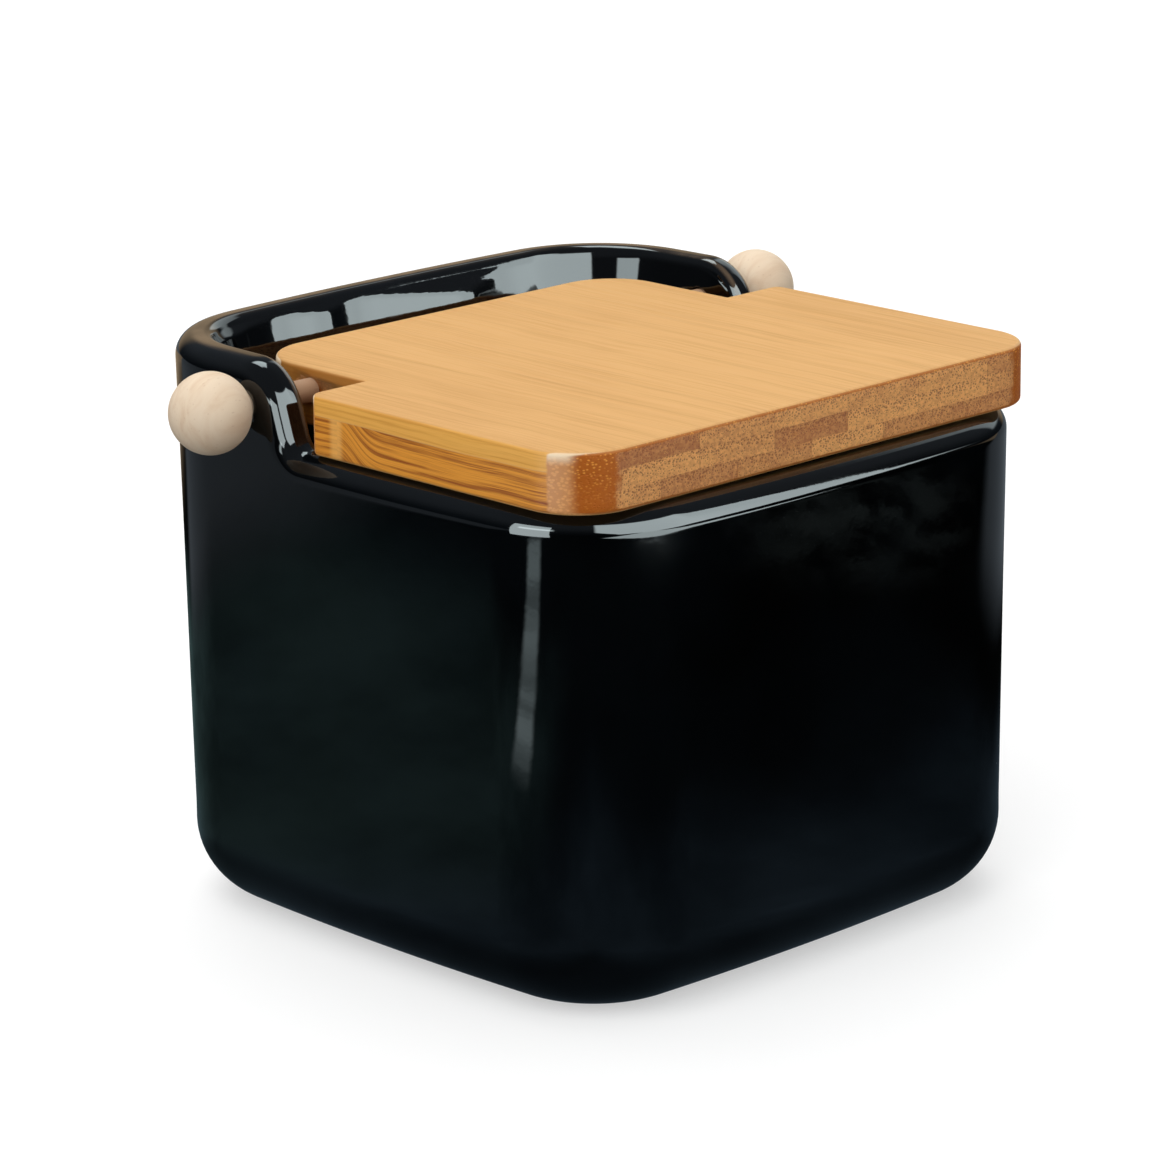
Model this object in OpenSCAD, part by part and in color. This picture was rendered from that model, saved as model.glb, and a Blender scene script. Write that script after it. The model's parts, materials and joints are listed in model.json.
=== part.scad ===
// Salt box: a square glazed pot whose rim is high round the back and low at the
// front, closed by a wooden lid. The lid is T-shaped: its wide front part covers
// the low rim, and its narrower back part lies between the pot's two cheeks. Short
// dowels glued into the back part pass through the cheeks, and a drilled ball is
// glued on the outer end of each, so that the lid turns but can't come out.
//
// Z is up, the front faces -Y, and the origin is on the table under the pot's middle.

/* [Pot] */
// Overall width of the pot, across the middles of its side walls
pot_w = 121.2; // [114:0.2:140]
// Overall depth of the pot, from the front wall to the back wall
pot_d = 121.6; // [117:0.2:140]
// Height of the high rim round the back
back_h = 104.8; // [80:0.2:140]
// How far the low rim round the front lies below the high rim
step_h = 14.8; // [13:0.2:20]
// Thickness of the wall
wall = 7.2; // [5.5:0.1:9]
// Height of the inside floor above the table
floor_h = 7; // [5:0.5:12]
// Outside radius of the upright corners, seen from above
corner_r = 25.5; // [25:0.5:32]
// How far each wall bows out at its middle
wall_bow = 1; // [0.3:0.1:2.5]
// How far each wall leans in, in mm for each mm downwards
draft = 0.01; // [0:0.002:0.018]

/* [Base] */
// Outside radius between the walls and the base
base_r = 14.5; // [8:0.5:17]
// Inside radius between the walls and the floor
inside_r = 10; // [5:0.5:14]
// Width of the flat foot ring that the pot stands on
foot_w = 6; // [3:0.5:7]
// Height of the hollow inside the foot ring
foot_lift = 1.2; // [0.6:0.1:2]

/* [Rim] */
// Radius on the outer edge of the rim
rim_out_r = 4.2; // [2.6:0.1:4.6]
// Radius on the inner edge of the rim
rim_in_r = 2.2; // [0.8:0.1:2.6]
// Slope of the step between the low and the high rim, in degrees
step_angle = 72; // [60:1:78]
// Radius at the foot of the step
step_foot_r = 4; // [2:0.5:5]
// Radius at the shoulder of the step
step_shoulder_r = 10.5; // [7:0.5:12]
// Distance from the lid's ears to the slope, along the low rim
step_gap = 3.8; // [3:0.1:5]

/* [Lid] */
// Thickness of the board
lid_t = 10.8; // [9:0.2:13]
// How far the board's sides lie inside the middles of the side walls
lid_side_inset = 2.6; // [2:0.2:4]
// How far the board's front edge lies inside the middle of the front wall
lid_front_inset = 4.6; // [3:0.2:6]
// How far the wide part ends in front of the hinge
ear_reach = 14.7; // [14:0.1:18]
// How far the narrow part runs behind the hinge
tongue_reach = 16.1; // [10:0.1:18]
// Free space between the narrow part and each cheek
tongue_gap = 8.7; // [3:0.1:11]
// Radius of the two front corners
lid_front_r = 11.2; // [6:0.2:16]
// Radius of the two back corners of the narrow part
tongue_r = 11; // [5:0.2:16]
// Radius of the two outer corners at the back of the wide part
ear_r = 2; // [1.2:0.1:4]
// Rounding along every edge of the board
lid_edge_r = 0.8; // [0.3:0.1:1.1]
// Gap between the low rim and the closed lid
lid_seat_gap = 0.3; // [0.2:0.05:0.6]

/* [Hinge] */
// How far the hinge lies behind the pot's middle
hinge_back = 24.5; // [22:0.5:27]
// How far the hinge lies above the middle of the board's thickness
hinge_rise = 1.2; // [0:0.1:1.6]
// Diameter of the dowels
dowel_d = 4.4; // [3.6:0.1:5.4]
// Clearance all round each dowel in the pot's hole
dowel_clearance = 0.4; // [0.2:0.05:0.8]
// Room for glue all round each dowel in the wood
glue_gap = 0.1; // [0.05:0.05:0.2]
// Depth of the holes in the lid's sides
lid_hole_depth = 14; // [8:0.5:20]
// Depth of the holes in the balls
ball_hole_depth = 9; // [5:0.5:11]
// Bevel on the dowels' ends
dowel_bevel = 0.5; // [0.2:0.1:0.9]
// Diameter of the balls
ball_d = 14.5; // [12:0.1:17]
// Gap between each ball and the pot
ball_gap = 0.3; // [0.2:0.05:1]

/* [Hidden] */
$fn = 96;
overcut = 1;

GLAZE = [0.07, 0.08, 0.10];
BAMBOO = [0.84, 0.63, 0.39];
BEECH = [0.88, 0.75, 0.64];

// The pot's plan is four wide wall arcs and four corner arcs, each tangent to the next.
corner_x = pot_w / 2 - wall_bow - corner_r;
corner_y = pot_d / 2 - wall_bow - corner_r;
side_turn = 2 * atan(wall_bow / corner_y);
end_turn = 2 * atan(wall_bow / corner_x);
side_arc_r = corner_r + corner_y / sin(side_turn);
end_arc_r = corner_r + corner_x / sin(end_turn);
side_end_y = side_arc_r * sin(side_turn);

// Height of the low rim
front_h = back_h - step_h;

// The lid and its hinge
lid_z = front_h + lid_seat_gap;
lid_w = pot_w - 2 * lid_side_inset;
lid_front_y = lid_front_inset - pot_d / 2;
hinge_y = hinge_back;
hinge_z = lid_z + lid_t / 2 + hinge_rise;
ear_y = hinge_y - ear_reach;
tongue_w = pot_w - 2 * (wall + tongue_gap);
tongue_y = hinge_y + tongue_reach;

// The step in the rim: a slope that starts behind the lid's ears
step_y = ear_y + step_gap;
step_top_y = step_y + step_h / tan(step_angle);
step_foot_y = step_y - step_foot_r * tan(step_angle / 2);
step_shoulder_y = step_top_y + step_shoulder_r * tan(step_angle / 2);

// Heights between which the walls run straight
wall_low_z = base_r;
wall_high_z = front_h - 2 * rim_out_r;
wall_mid_z = (wall_low_z + wall_high_z) / 2;
rim_flat = 0.1;
rim_inner_r = min(rim_in_r, wall - rim_out_r - rim_flat);

// Balls and dowels, measured outwards from the pot's middle
ball_r = ball_d / 2;
dowel_r = dowel_d / 2;
cheek_x = side_arc_r * cos(asin(hinge_y / side_arc_r)) - side_arc_r + pot_w / 2
    - draft * (back_h - hinge_z);
ball_x = cheek_x + ball_gap + ball_r;
ball_mouth_x = ball_x - sqrt(ball_r * ball_r - dowel_r * dowel_r);
dowel_in_x = tongue_w / 2 - lid_hole_depth + glue_gap;
dowel_out_x = ball_mouth_x + ball_hole_depth - glue_gap;

// Steps along the plan and over the profile
corner_steps = 10;
wall_steps = 3;
foot_steps = 5;
slope_steps = 2;
shoulder_steps = 7;
base_steps = 7;
rim_out_steps = 6;
rim_in_steps = 4;
inside_steps = 6;

// Values from a up to, but not including, b
function spread(a, b, steps) = [for (i = [0:steps - 1]) a + (b - a) * i / steps];

// The rim along a side wall, front to back, as [y, height, slope in degrees]
function rim_path() = concat(
    [for (y = spread(-side_end_y, step_foot_y, wall_steps)) [y, front_h, 0]],
    [for (a = spread(0, step_angle, foot_steps))
        [step_foot_y + step_foot_r * sin(a), front_h + step_foot_r * (1 - cos(a)), a]],
    [for (t = spread(0, 1, slope_steps)) slope_point(t)],
    [for (a = spread(step_angle, 0, shoulder_steps))
        [step_shoulder_y - step_shoulder_r * sin(a), back_h - step_shoulder_r * (1 - cos(a)), a]],
    [for (y = spread(step_shoulder_y, side_end_y, 2)) [y, back_h, 0]]
);

// A point on the straight part of the slope, from its foot (0) to its shoulder (1)
function slope_point(t) =
    let (
        y0 = step_foot_y + step_foot_r * sin(step_angle),
        y1 = step_shoulder_y - step_shoulder_r * sin(step_angle),
        z0 = front_h + step_foot_r * (1 - cos(step_angle)),
        z1 = back_h - step_shoulder_r * (1 - cos(step_angle))
    )
    [y0 + (y1 - y0) * t, z0 + (z1 - z0) * t, step_angle];

// Columns of the right half, from the middle of the front to the middle of the back.
// Each is [arc centre, arc radius, angle on the arc, rim height, rim slope].
function columns() = concat(
    [for (a = spread(-90, end_turn - 90, wall_steps))
        [[0, end_arc_r - pot_d / 2], end_arc_r, a, front_h, 0]],
    [for (a = spread(end_turn - 90, -side_turn, corner_steps))
        [[corner_x, -corner_y], corner_r, a, front_h, 0]],
    [for (p = rim_path())
        [[pot_w / 2 - side_arc_r, 0], side_arc_r, asin(p[0] / side_arc_r), p[1], p[2]]],
    [for (a = spread(side_turn, 90 - end_turn, corner_steps))
        [[corner_x, corner_y], corner_r, a, back_h, 0]],
    [for (a = concat(spread(90 - end_turn, 90, wall_steps), [90]))
        [[0, pot_d / 2 - end_arc_r], end_arc_r, a, back_h, 0]]
);

// A point of a column, moved in from the wall's face and along the wall
function place(c, inset, along, z) =
    let (
        a = along == 0 ? c[2] : asin(sin(c[2]) + along / c[1]),
        r = c[1] - inset - draft * (back_h - z)
    )
    [c[0][0] + r * cos(a), c[0][1] + r * sin(a), z];

// The profile from the hollow under the base, up the outside, over the rim and down to
// the floor. [inset, height, 0] is at a height; [inset, depth, 1] is square to the rim.
function profile() = concat(
    [[base_r + foot_w + foot_lift, foot_lift, 0], [base_r + foot_w, 0, 0]],
    [for (a = spread(0, 90, base_steps)) [base_r * (1 - sin(a)), base_r * (1 - cos(a)), 0]],
    [[0, wall_low_z, 0], [0, wall_mid_z, 0], [0, wall_high_z, 0]],
    [for (a = spread(0, 90, rim_out_steps)) [rim_out_r * (1 - cos(a)), rim_out_r * (1 - sin(a)), 1]],
    [[rim_out_r, 0, 1]],
    [for (a = spread(90, 0, rim_in_steps))
        [wall - rim_inner_r * (1 - cos(a)), rim_inner_r * (1 - sin(a)), 1]],
    [[wall, rim_inner_r, 1], [wall, wall_high_z, 0], [wall, wall_mid_z, 0]],
    [for (a = spread(0, 90, inside_steps))
        [wall + inside_r * (1 - cos(a)), floor_h + inside_r * (1 - sin(a)), 0]],
    [[wall + inside_r, floor_h, 0]]
);

function column_point(c, s) =
    s[2] == 1
        ? place(c, s[0], s[1] * sin(c[4]), c[3] - s[1] * cos(c[4]))
        : place(c, s[0], rim_out_r * sin(c[4]), s[1]);

// One ring round the pot: the right half, then its mirror image on the left
function ring(cols, s) =
    let (
        right = [for (c = cols) column_point(c, s)],
        last = len(right) - 1
    )
    concat(right, [for (i = [last - 1:-1:1]) [-right[i][0], right[i][1], right[i][2]]]);

module pot_shell() {
    cols = columns();
    stations = profile();
    count = 2 * len(cols) - 2;
    top = len(stations) - 1;
    points = [for (s = stations) each ring(cols, s)];
    sides = [
        for (k = [0:top - 1])
            for (i = [0:count - 1])
                let (
                    j = (i + 1) % count,
                    a = k * count + i,
                    b = k * count + j,
                    c = (k + 1) * count + j,
                    d = (k + 1) * count + i
                )
                each [[a, d, c], [a, c, b]]
    ];
    base = [for (i = [0:count - 1]) i];
    inside_floor = [for (i = [count - 1:-1:0]) top * count + i];
    polyhedron(points, concat(sides, [base], [inside_floor]), convexity = 8);
}

// A hole or rod along X between two distances from the middle
module along_x(r, x0, x1) {
    translate([x0, hinge_y, hinge_z])
        rotate([0, 90, 0])
            cylinder(r = r, h = x1 - x0);
}

module pot() {
    color(GLAZE)
        difference() {
            pot_shell();
            along_x(dowel_r + dowel_clearance, -pot_w / 2 - overcut, pot_w / 2 + overcut);
        }
}

// Section of the board: a rectangle with rounded corners, from 0 to len
module board_section(len) {
    translate([lid_edge_r, 0])
        square([len - 2 * lid_edge_r, lid_t]);
    translate([0, lid_edge_r])
        square([len, lid_t - 2 * lid_edge_r]);
    for (x = [lid_edge_r, len - lid_edge_r])
        for (z = [lid_edge_r, lid_t - lid_edge_r])
            translate([x, z])
                circle(r = lid_edge_r);
}

// Half of a round section of the board, for an upright corner of radius r
module corner_section(r) {
    intersection() {
        translate([-r, 0])
            board_section(2 * r);
        square([r, lid_t]);
    }
}

// A stretch of board with edges rounded left and right, from x0 to x1 and y0 to y1
module board_lengthways(x0, x1, y0, y1) {
    translate([x0, y1, 0])
        rotate([90, 0, 0])
            linear_extrude(y1 - y0)
                board_section(x1 - x0);
}

// The same with its edges rounded front and back
module board_crossways(x0, x1, y0, y1) {
    translate([x0, y0, 0])
        rotate([90, 0, 90])
            linear_extrude(x1 - x0)
                board_section(y1 - y0);
}

// A board from y0 to y1 with its own radius at the front and at the back corners
module board(w, y0, y1, front_r, back_r) {
    board_lengthways(-w / 2, w / 2, y0 + front_r, y1 - back_r);
    board_crossways(front_r - w / 2, w / 2 - front_r, y0, y0 + 2 * front_r);
    board_crossways(back_r - w / 2, w / 2 - back_r, y1 - 2 * back_r, y1);
    for (side = [-1, 1]) {
        translate([side * (w / 2 - front_r), y0 + front_r, 0])
            rotate_extrude()
                corner_section(front_r);
        translate([side * (w / 2 - back_r), y1 - back_r, 0])
            rotate_extrude()
                corner_section(back_r);
    }
}

module lid() {
    color(BAMBOO)
        difference() {
            translate([0, 0, lid_z]) {
                board(lid_w, lid_front_y, ear_y, lid_front_r, ear_r);
                board(tongue_w, ear_y - 2 * tongue_r, tongue_y, ear_r, tongue_r);
            }
            along_x(dowel_r + glue_gap, -tongue_w / 2 - overcut, lid_hole_depth - tongue_w / 2);
            along_x(dowel_r + glue_gap, tongue_w / 2 - lid_hole_depth, tongue_w / 2 + overcut);
        }
}

// A dowel on the right, with bevelled ends
module dowel() {
    color(BEECH)
        translate([dowel_in_x, hinge_y, hinge_z])
            rotate([0, 90, 0]) {
                len = dowel_out_x - dowel_in_x;
                cylinder(r1 = dowel_r - dowel_bevel, r2 = dowel_r, h = dowel_bevel);
                translate([0, 0, dowel_bevel])
                    cylinder(r = dowel_r, h = len - 2 * dowel_bevel);
                translate([0, 0, len - dowel_bevel])
                    cylinder(r1 = dowel_r, r2 = dowel_r - dowel_bevel, h = dowel_bevel);
            }
}

// A ball on the right, drilled from the side that faces the pot
module ball() {
    color(BEECH)
        difference() {
            translate([ball_x, hinge_y, hinge_z])
                sphere(d = ball_d);
            along_x(dowel_r + glue_gap, ball_mouth_x - ball_r, ball_mouth_x + ball_hole_depth);
        }
}

module right_dowel() {
    dowel();
}

module left_dowel() {
    mirror([1, 0, 0])
        dowel();
}

module right_ball() {
    ball();
}

module left_ball() {
    mirror([1, 0, 0])
        ball();
}

pot();
lid();
left_dowel();
right_dowel();
left_ball();
right_ball();
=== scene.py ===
"""Salt box: a black glazed pot with a T-shaped bamboo lid that turns on two dowels ending in balls."""

import json
import math
from collections import namedtuple

import bmesh
import bpy
from mathutils import Matrix, Vector, noise


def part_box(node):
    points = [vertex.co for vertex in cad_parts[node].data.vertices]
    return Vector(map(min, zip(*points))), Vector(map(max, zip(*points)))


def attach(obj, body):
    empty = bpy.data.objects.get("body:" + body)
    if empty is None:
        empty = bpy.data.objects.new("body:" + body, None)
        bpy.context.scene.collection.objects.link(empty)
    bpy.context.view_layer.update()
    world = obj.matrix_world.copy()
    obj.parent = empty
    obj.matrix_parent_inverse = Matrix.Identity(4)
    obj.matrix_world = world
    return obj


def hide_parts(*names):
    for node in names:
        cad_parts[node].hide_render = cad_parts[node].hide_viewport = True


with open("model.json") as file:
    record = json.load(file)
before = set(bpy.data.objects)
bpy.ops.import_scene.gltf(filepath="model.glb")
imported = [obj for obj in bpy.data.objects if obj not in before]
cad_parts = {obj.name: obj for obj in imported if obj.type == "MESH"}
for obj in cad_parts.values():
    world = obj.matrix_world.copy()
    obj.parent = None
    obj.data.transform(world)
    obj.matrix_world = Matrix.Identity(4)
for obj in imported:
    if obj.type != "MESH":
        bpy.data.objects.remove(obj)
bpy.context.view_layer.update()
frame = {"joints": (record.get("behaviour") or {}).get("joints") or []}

MM = 0.001

# ---------------------------------------------------------------- sizes, in mm
# The pot, as its construction has it
POT_W = 121.2
POT_D = 121.6
BACK_H = 104.8
FRONT_H = 90
WALL = 7.2
FLOOR_H = 7
CORNER_R = 25.5
WALL_BOW = 1
DRAFT = 0.01
BASE_R = 14.5
INSIDE_R = 10
FOOT_W = 6
FOOT_LIFT = 1.2
RIM_OUT_R = 4.2
RIM_IN_R = 2.2
STEP_ANGLE = math.radians(72)
STEP_FOOT_R = 4
STEP_SHOULDER_R = 10.5
STEP_GAP = 3.8

# The lid
EAR_REACH = 14.7
LID_FRONT_R = 11.2
TONGUE_R = 11
EAR_R = 2
LID_EDGE_R = 0.8
TONGUE_W = 89.4
LID_HOLE_DEPTH = 14

# The hinge
DOWEL_D = 4.4
DOWEL_CLEARANCE = 0.4
GLUE_GAP = 0.1
DOWEL_BEVEL = 0.5
BALL_HOLE_DEPTH = 9

# Read from the frame
HINGE = Vector(frame["joints"][0]["pos_m"]) / MM
LID_LOW, LID_HIGH = (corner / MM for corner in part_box("lid"))
BALL_LOW, BALL_HIGH = (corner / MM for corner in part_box("right_ball"))
DOWEL_LOW, DOWEL_HIGH = (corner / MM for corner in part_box("right_dowel"))
BALL_R = (BALL_HIGH.z - BALL_LOW.z) / 2
BALL_X = BALL_HIGH.x - BALL_R


# ---------------------------------------------------------------- node helpers
class Nodes:
    """Builds a node tree from plain calls. Most give one output socket."""

    def __init__(self, tree):
        tree.nodes.clear()
        self.tree = tree

    def node(self, kind, inputs=None, **settings):
        node = self.tree.nodes.new(kind)
        for name, value in settings.items():
            setattr(node, name, value)
        for name, value in (inputs or {}).items():
            self.put(node.inputs[name], value)
        return node

    def put(self, socket, value):
        if isinstance(value, bpy.types.NodeSocket):
            self.tree.links.new(value, socket)
        else:
            socket.default_value = value

    def math(self, operation, *values, clamp=False):
        node = self.node("ShaderNodeMath", operation=operation, use_clamp=clamp)
        for socket, value in zip(node.inputs, values):
            self.put(socket, value)
        return node.outputs[0]

    def add(self, *values):
        total = values[0]
        for value in values[1:]:
            total = self.math("ADD", total, value)
        return total

    def times(self, *values):
        total = values[0]
        for value in values[1:]:
            total = self.math("MULTIPLY", total, value)
        return total

    def minus(self, value, other):
        return self.math("SUBTRACT", value, other)

    def abs(self, value):
        return self.math("ABSOLUTE", value)

    def distance(self, x, y, centre):
        """How far a place is from a centre, in plan."""
        dx = self.minus(x, centre[0])
        dy = self.minus(y, centre[1])
        return self.math("SQRT", self.add(self.times(dx, dx), self.times(dy, dy)))

    def rise(self, value, low, high, out_low=0.0, out_high=1.0):
        """A smooth step from out_low at low to out_high at high."""
        node = self.node("ShaderNodeMapRange", interpolation_type="SMOOTHSTEP")
        for socket, item in zip(node.inputs, (value, low, high, out_low, out_high)):
            self.put(socket, item)
        return node.outputs[0]

    def fall(self, value, low, high):
        """A smooth step down, from 1 at low to 0 at high."""
        return self.rise(value, low, high, 1.0, 0.0)

    def mix(self, factor, a, b, blend="MIX"):
        node = self.node("ShaderNodeMix", data_type="RGBA", blend_type=blend)
        for i, value in zip((0, 6, 7), (factor, a, b)):
            self.put(node.inputs[i], value)
        return node.outputs[2]

    def vector(self, x, y, z):
        node = self.node("ShaderNodeCombineXYZ")
        for socket, value in zip(node.inputs, (x, y, z)):
            self.put(socket, value)
        return node.outputs[0]

    def grey(self, value):
        return self.vector(value, value, value)

    def blend(self, factor, a, b):
        """Mixes two values, as mix does colours."""
        return self.split(self.mix(factor, self.grey(a), self.grey(b)))[0]

    def split(self, vector):
        return self.node("ShaderNodeSeparateXYZ", {"Vector": vector}).outputs

    def scaled(self, vector, x, y, z):
        node = self.node("ShaderNodeVectorMath", {0: vector, 1: (x, y, z)}, operation="MULTIPLY")
        return node.outputs[0]

    def noise(self, vector, scale=1.0, detail=2.0, roughness=0.5, distortion=0.0):
        inputs = {"Vector": vector, "Scale": scale, "Detail": detail, "Roughness": roughness}
        inputs["Distortion"] = distortion
        return self.node("ShaderNodeTexNoise", inputs).outputs["Fac"]

    def cells(self, vector, scale=1.0, randomness=1.0):
        inputs = {"Vector": vector, "Scale": scale, "Randomness": randomness}
        return self.node("ShaderNodeTexVoronoi", inputs)

    def bump(self, height, distance, normal=None):
        inputs = {"Height": height, "Strength": 1.0, "Distance": distance}
        if normal is not None:
            inputs["Normal"] = normal
        return self.node("ShaderNodeBump", inputs).outputs["Normal"]

    def shader(self, kind, **inputs):
        return self.node("ShaderNode" + kind, inputs).outputs[0]

    def add_shaders(self, a, b):
        return self.node("ShaderNodeAddShader", {0: a, 1: b}).outputs[0]

    def mix_shaders(self, factor, a, b):
        return self.node("ShaderNodeMixShader", {0: factor, 1: a, 2: b}).outputs[0]

    def rays(self):
        """Two values. The first is 1 for a glossy ray. The second is 1 for a ray that the camera
        sees by, straight or through something clear."""
        path = self.node("ShaderNodeLightPath").outputs
        seen = self.math("MAXIMUM", path["Is Camera Ray"], path["Is Transmission Ray"])
        return path["Is Glossy Ray"], seen


def new_material(name):
    """A material, its nodes, and the position on the object in mm."""
    material = bpy.data.materials.new(name)
    material.use_nodes = True
    n = Nodes(material.node_tree)
    coords = n.node("ShaderNodeTexCoord").outputs
    where = n.scaled(coords["Object"], 1 / MM, 1 / MM, 1 / MM)
    return material, n, where


def finish_material(n, **inputs):
    """Adds a principled shader with these inputs, named with _ for each space."""
    shader = n.node("ShaderNodeBsdfPrincipled")
    for name, value in inputs.items():
        n.put(shader.inputs[name.replace("_", " ")], value)
    output = n.node("ShaderNodeOutputMaterial")
    n.tree.links.new(shader.outputs[0], output.inputs[0])


# ---------------------------------------------------------------- materials
GLAZE_BLACK = (0.0005, 0.0006, 0.0007, 1)
GLAZE_BLUE = (0.0012, 0.0019, 0.0026, 1)
GLAZE_BREAK = (0.125, 0.088, 0.056, 1)
GLAZE_SPECK = (0.160, 0.170, 0.160, 1)
GLAZE_IOR = 1.55
GLAZE_PEEL = 0.000008
PINHOLE_SIZE = 0.034
PINHOLE_DEPTH = 0.00004
BARE_CLAY = (0.52, 0.44, 0.36, 1)
BARE_CLAY_DARK = (0.30, 0.23, 0.17, 1)
BARE_CLAY_GRAIN = 0.00006


def glaze_material():
    """Black gloss glaze with deeper and thinner areas, brown where it breaks over the rim, and
    with pinholes and a fine orange peel."""
    material, n, where = new_material("black_glaze")
    depth = n.noise(where, 0.03, 3)
    colour = n.mix(n.rise(depth, 0.35, 0.7), GLAZE_BLACK, GLAZE_BLUE)

    rim = n.node("ShaderNodeAttribute", attribute_name="rim").outputs["Fac"]
    y, z = n.split(where)[1:]
    patchy = n.rise(n.noise(where, 0.09, 3, 0.6), 0.30, 0.60, 0.35, 1.0)
    at_back = n.rise(y, 24.0, 44.0)
    crest = n.times(n.rise(rim, 0.36, 0.46), n.fall(rim, 0.60, 0.76), at_back)
    at_front = n.add(1.0, n.times(at_back, -0.8))
    over_front = n.rise(z, FRONT_H + 0.5, FRONT_H + 3.0)
    lip = n.times(n.rise(rim, 0.60, 0.72), n.fall(rim, 0.74, 0.90), over_front, at_front)
    thin = n.times(n.math("MAXIMUM", crest, n.times(lip, 0.8)), patchy)
    colour = n.mix(thin, colour, GLAZE_BREAK)

    holes = n.cells(where, 0.13)
    pick = n.split(holes.outputs["Color"])[0]
    pinhole = n.rise(pick, 0.7, 1.0, 0.0, PINHOLE_SIZE)
    speck = n.math("LESS_THAN", holes.outputs["Distance"], pinhole)
    colour = n.mix(speck, colour, GLAZE_SPECK)

    smear = n.noise(where, 0.05, 4, 0.6, 0.4)
    roughness = n.rise(smear, 0.35, 0.8, 0.035, 0.085)
    roughness = n.math("MAXIMUM", roughness, n.times(speck, 0.4))
    peel = n.bump(n.noise(where, 0.35, 2), GLAZE_PEEL)
    pit = n.bump(speck, -PINHOLE_DEPTH, peel)
    finish_material(n, Base_Color=colour, Roughness=roughness, IOR=GLAZE_IOR, Normal=pit)
    return material


def bare_clay_material():
    """The unglazed foot: buff stoneware with fine grog."""
    material, n, where = new_material("bare_clay")
    grog = n.noise(where, 2.2, 4, 0.7)
    colour = n.mix(n.rise(grog, 0.55, 0.75, 0, 0.6), BARE_CLAY, BARE_CLAY_DARK)
    finish_material(n, Base_Color=colour, Roughness=0.85, Normal=n.bump(grog, BARE_CLAY_GRAIN))
    return material


WOOD_SPECULAR = 0.25
WOOD_IOR = 1.45

# The bamboo board: three plies glued from strips whose grain runs front to back
STRIP_W = 18
STRIP_X = -30
PLY_HIGH_Z = 97.5
PLY_LOW_Z = 94.0
CURL_START_Y = -11.0
CURL_END_Y = 2.6
CURL_DROP = 5.5
NODE_Y = 2.9
BAMBOO_GRAIN = 0.00005

# The numbers that give each strip of each ply a tone of its own
STRIP_TURN = 1.6843
PLY_TURN = 3.6375
FIRST_TURN = 4.4886
TONE_FACTOR = 4.7998

BAMBOO_TOP = (0.720, 0.405, 0.152, 1)
BAMBOO_TOP_DARK = (0.545, 0.275, 0.088, 1)
BAMBOO_SIDE = (0.860, 0.440, 0.088, 1)
BAMBOO_SIDE_DARK = (0.640, 0.270, 0.036, 1)
BAMBOO_CORE = (0.800, 0.325, 0.036, 1)
BAMBOO_CORE_DARK = (0.290, 0.070, 0.008, 1)
BAMBOO_NODE = (0.900, 0.470, 0.120, 1)
# Painted shade for the tongue's sides, beside the cheeks
TONGUE_SIDE_PAINTED_SHADE = (0.330, 0.105, 0.020, 1)
END_LIGHT = (0.930, 0.470, 0.160, 1)
END_DARK = (0.440, 0.160, 0.058, 1)
END_PORE = (0.240, 0.070, 0.024, 1)
CORNER_PALE = (0.740, 0.350, 0.120, 1)
# Painted highlight on the top of the pale corners
CORNER_PAINTED_HIGHLIGHT = (0.980, 0.800, 0.560, 1)
CORNER_ORANGE = (0.400, 0.095, 0.003, 1)
CORNER_DOT = (0.820, 0.360, 0.060, 1)


def bamboo_strips(n, x, y, z):
    """The level of a point with the wander of the plies, its ply from 0 at the bottom to 2 at the
    top, the tone and the seed of its strip, and the glue lines between strips."""
    wander = n.times(n.add(n.noise(n.vector(n.times(x, 0.02), n.times(y, 0.02), 3.0), 1.0), -0.5), 1.2)
    level = n.add(z, wander)
    ply = n.add(n.math("GREATER_THAN", level, PLY_LOW_Z), n.math("GREATER_THAN", level, PLY_HIGH_Z))
    staggered = n.times(n.math("LESS_THAN", ply, 0.5), STRIP_W / 2)
    place = n.math("DIVIDE", n.add(x, -STRIP_X, staggered), STRIP_W)
    strip = n.math("FLOOR", place)
    across = n.math("FRACT", place)
    turned = n.add(n.times(strip, STRIP_TURN), n.times(ply, PLY_TURN), FIRST_TURN)
    tone = n.math("FRACT", n.times(n.math("SINE", turned), TONE_FACTOR))
    seed = n.add(n.times(strip, 7.3), n.times(ply, 3.1))
    joint_line = n.fall(n.math("MINIMUM", across, n.minus(1.0, across)), 0.0, 0.012)
    return level, ply, tone, seed, joint_line


def bamboo_face(n, x, y, z, tone, seed, joint_line):
    """The faces, with the fibres along Y. Gives their colour and their fine grain."""
    cloud = n.noise(n.vector(n.times(x, 0.05), n.times(y, 0.03), seed), 1.0, 2)
    drifted = n.add(x, n.times(cloud, 3.0))
    fine_at = n.vector(n.times(drifted, 1.9), n.times(y, 0.035), n.add(n.times(z, 1.9), seed))
    fine = n.noise(fine_at, 1.0, 3, 0.6)
    broad_at = n.vector(n.times(drifted, 0.30), n.times(y, 0.012), n.add(n.times(z, 0.5), seed))
    broad = n.noise(broad_at, 1.0, 2)
    dark = n.add(n.times(n.rise(fine, 0.42, 0.72), 0.46), n.times(n.rise(broad, 0.4, 0.7), 0.30),
                 n.times(n.rise(cloud, 0.4, 0.7), 0.16), n.times(tone, -0.22),
                 n.times(joint_line, 0.20), 0.02)
    return n.mix(n.math("MAXIMUM", dark, 0.0, clamp=True), BAMBOO_TOP, BAMBOO_TOP_DARK), fine


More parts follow.
